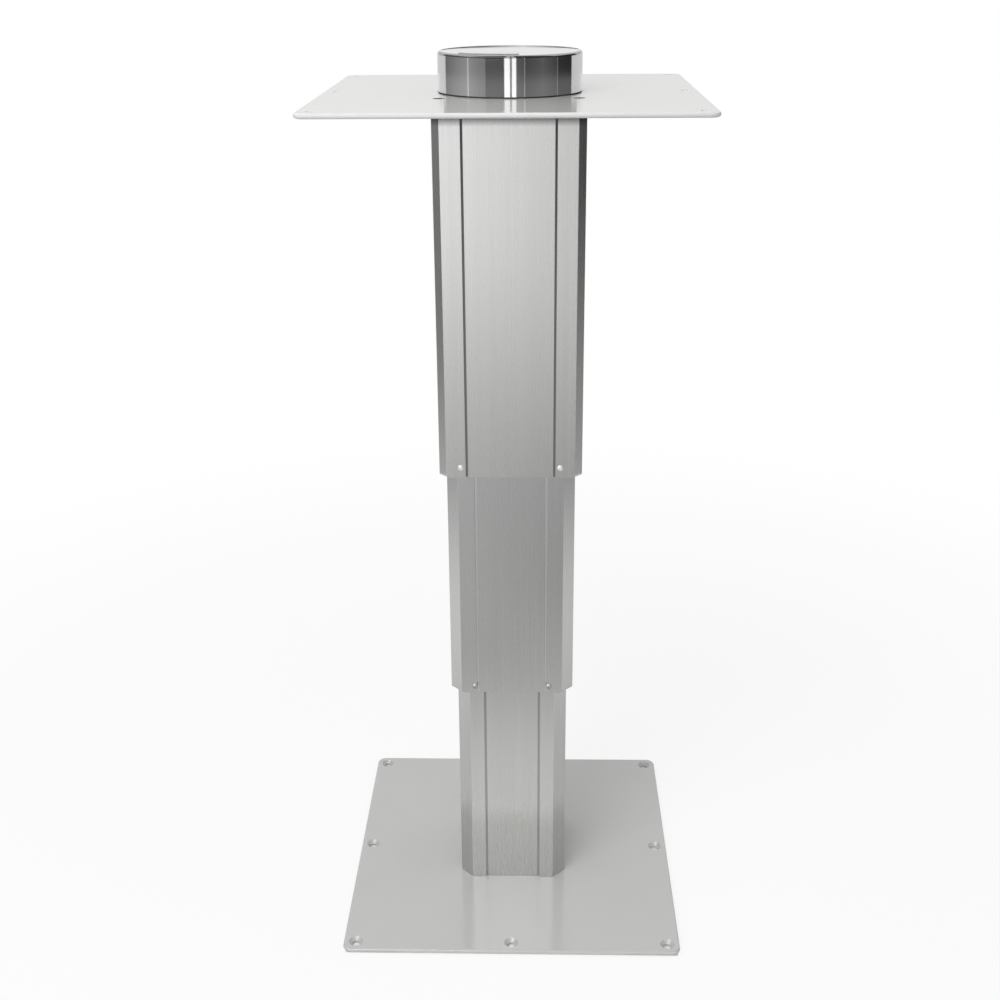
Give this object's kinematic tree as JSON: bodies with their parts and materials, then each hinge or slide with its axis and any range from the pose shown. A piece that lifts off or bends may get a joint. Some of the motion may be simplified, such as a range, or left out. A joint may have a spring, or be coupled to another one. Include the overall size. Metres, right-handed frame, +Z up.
{
  "type": "telescopic table leg",
  "caption": "Motorised telescopic table leg: square floor and table plates, nested square aluminium tubes on plastic guides, spindle drive, and a flat motor under a polished round cap.",
  "frame": {"origin": "centre of the floor face of the base plate", "axes": "+Z up along the column, -Y towards the front shown in the picture, +X to its right"},
  "size_m": [0.3, 0.3, 0.7595],
  "materials": {
    "powder_coat": "semi-gloss powder coat, pale grey",
    "tube_aluminium": "satin brushed along the tube, clear anodised",
    "machined_aluminium": "machined",
    "polished_metal": "mirror polished",
    "bright_screws": "bright zinc",
    "plain_screws": "dull zinc",
    "spindle_steel": "turned",
    "bearing_steel": "ground",
    "nut_bronze": "turned bronze",
    "guide_plastic": "black acetal",
    "motor_iron": "stacked laminations",
    "magnet": "nickel plated",
    "copper_winding": "enamelled copper wire",
    "board": "green solder mask",
    "seal_rubber": "black"
  },
  "bodies": {
    "base": {"base_plate": "powder_coat", "base_plate_screws": "bright_screws", "lower_tube": "tube_aluminium", "lower_glide_collar": "guide_plastic", "lower_end_plate": "machined_aluminium", "lower_end_plate_screws": "plain_screws", "lower_spindle_nut": "nut_bronze", "lower_nut_screws": "plain_screws"},
    "middle_stage": {"middle_tube": "tube_aluminium", "middle_guide_bush": "guide_plastic", "middle_guide_screws": "plain_screws", "middle_glide_collar": "guide_plastic", "middle_end_plate": "machined_aluminium", "middle_end_plate_screws": "plain_screws", "middle_spindle_nut": "nut_bronze", "middle_nut_screws": "plain_screws", "stage_bearing_outer_ring": "bearing_steel", "bearing_retainer": "machined_aluminium", "bearing_retainer_screws": "plain_screws"},
    "hollow_spindle_unit": {"hollow_spindle": "spindle_steel", "spindle_key_bush": "nut_bronze", "stage_bearing_inner_ring": "bearing_steel", "stage_bearing_balls": "bearing_steel", "spindle_circlip": "spindle_steel", "spindle_stop_collar": "spindle_steel", "stop_collar_pins": "spindle_steel"},
    "upper_stage": {"upper_tube": "tube_aluminium", "upper_guide_bush": "guide_plastic", "upper_guide_screws": "bright_screws", "table_plate": "powder_coat", "table_plate_screws": "bright_screws", "drive_carrier": "machined_aluminium", "drive_carrier_screws": "plain_screws", "drive_bearing_outer_ring": "bearing_steel", "motor_stator": "motor_iron", "motor_coils": "copper_winding", "control_board": "board", "board_spacers": "guide_plastic", "motor_screws": "plain_screws", "drive_cover": "polished_metal", "drive_cover_seal": "seal_rubber", "drive_cover_screws": "bright_screws", "cable_grommet": "seal_rubber"},
    "inner_spindle_unit": {"inner_spindle": "spindle_steel", "drive_bearing_inner_ring": "bearing_steel", "drive_bearing_balls": "bearing_steel", "motor_rotor": "motor_iron", "rotor_magnets": "magnet", "rotor_nut": "spindle_steel"}
  },
  "joints": [
    {"name": "middle_slide", "type": "slide", "parent": "base", "child": "middle_stage", "axis": [0, 0, 1], "range_m": [-0.2, 0]},
    {"name": "upper_slide", "type": "slide", "parent": "middle_stage", "child": "upper_stage", "axis": [0, 0, 1], "range_m": [-0.2, 0]},
    {"name": "hollow_spindle_spin", "type": "hinge", "parent": "middle_stage", "child": "hollow_spindle_unit", "pos_m": [0, 0, 0.4984], "axis": [0, 0, 1], "range_deg": [-9000, 0]},
    {"name": "inner_spindle_spin", "type": "hinge", "parent": "upper_stage", "child": "inner_spindle_unit", "pos_m": [0, 0, 0.7316], "axis": [0, 0, 1], "range_deg": [-9000, 0]}
  ],
  "couplings": [
    {"joint": "upper_slide", "follows": "middle_slide", "ratio": 1},
    {"joint": "hollow_spindle_spin", "follows": "middle_slide", "rad_per_m": 785.4},
    {"joint": "inner_spindle_spin", "follows": "middle_slide", "rad_per_m": 785.4}
  ]
}
